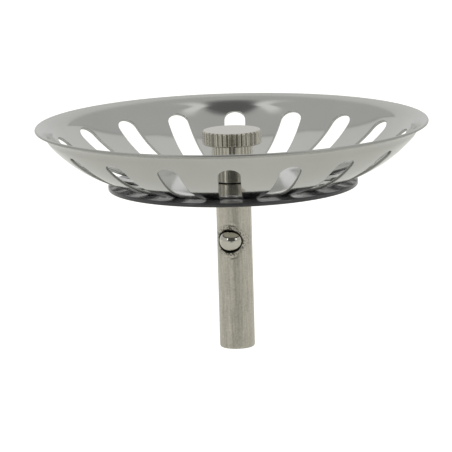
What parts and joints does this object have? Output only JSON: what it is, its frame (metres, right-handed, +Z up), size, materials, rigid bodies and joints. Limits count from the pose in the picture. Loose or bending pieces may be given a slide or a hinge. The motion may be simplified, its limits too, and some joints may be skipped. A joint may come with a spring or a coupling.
{
  "type": "sink strainer",
  "caption": "Basket strainer plug for a sink waste: slotted steel bowl on a rubber seal, with a knurled knob above and a stem with a sprung ball catch below.",
  "frame": {"origin": "on the axis, in the plane where the lip of the seal rests on the sink waste", "axes": "+Z up along the stem towards the knob; one slot of the bowl faces -Y turned 1.2 degrees towards -X, and the ball of the catch faces -Y turned 18.5 degrees towards -X"},
  "size_m": [0.084, 0.084, 0.0486],
  "materials": {
    "nickel_plate": "satin",
    "polished_steel": "polished",
    "washer_steel": "satin",
    "ball_steel": "polished",
    "spring_steel": "satin",
    "black_rubber": "satin"
  },
  "bodies": {
    "strainer": {"stem": "nickel_plate", "backing_washer": "washer_steel", "rubber_seal": "black_rubber", "strainer_bowl": "polished_steel", "detent_spring": "spring_steel"},
    "gasket": {"knob_gasket": "black_rubber"},
    "knob": {"knob": "nickel_plate"},
    "ball": {"detent_ball": "ball_steel"}
  },
  "joints": [
    {"name": "knob_lift", "type": "slide", "parent": "strainer", "child": "gasket", "axis": [0, 0, 1], "range_m": [0, 0.00641]},
    {"name": "knob_turn", "type": "hinge", "parent": "gasket", "child": "knob", "pos_m": [0, 0, 0.00125], "axis": [0, 0, 1], "range_deg": [0, 2880]},
    {"name": "ball_press", "type": "slide", "parent": "strainer", "child": "ball", "axis": [0.3173, 0.9483, 0], "range_m": [0, 0.0011], "stiffness_N_per_m": 1500, "springref_m": -0.001, "deforming": ["detent_spring"]}
  ],
  "couplings": [
    {"joint": "knob_lift", "follows": "knob_turn", "m_per_rad": 0.00012732}
  ]
}
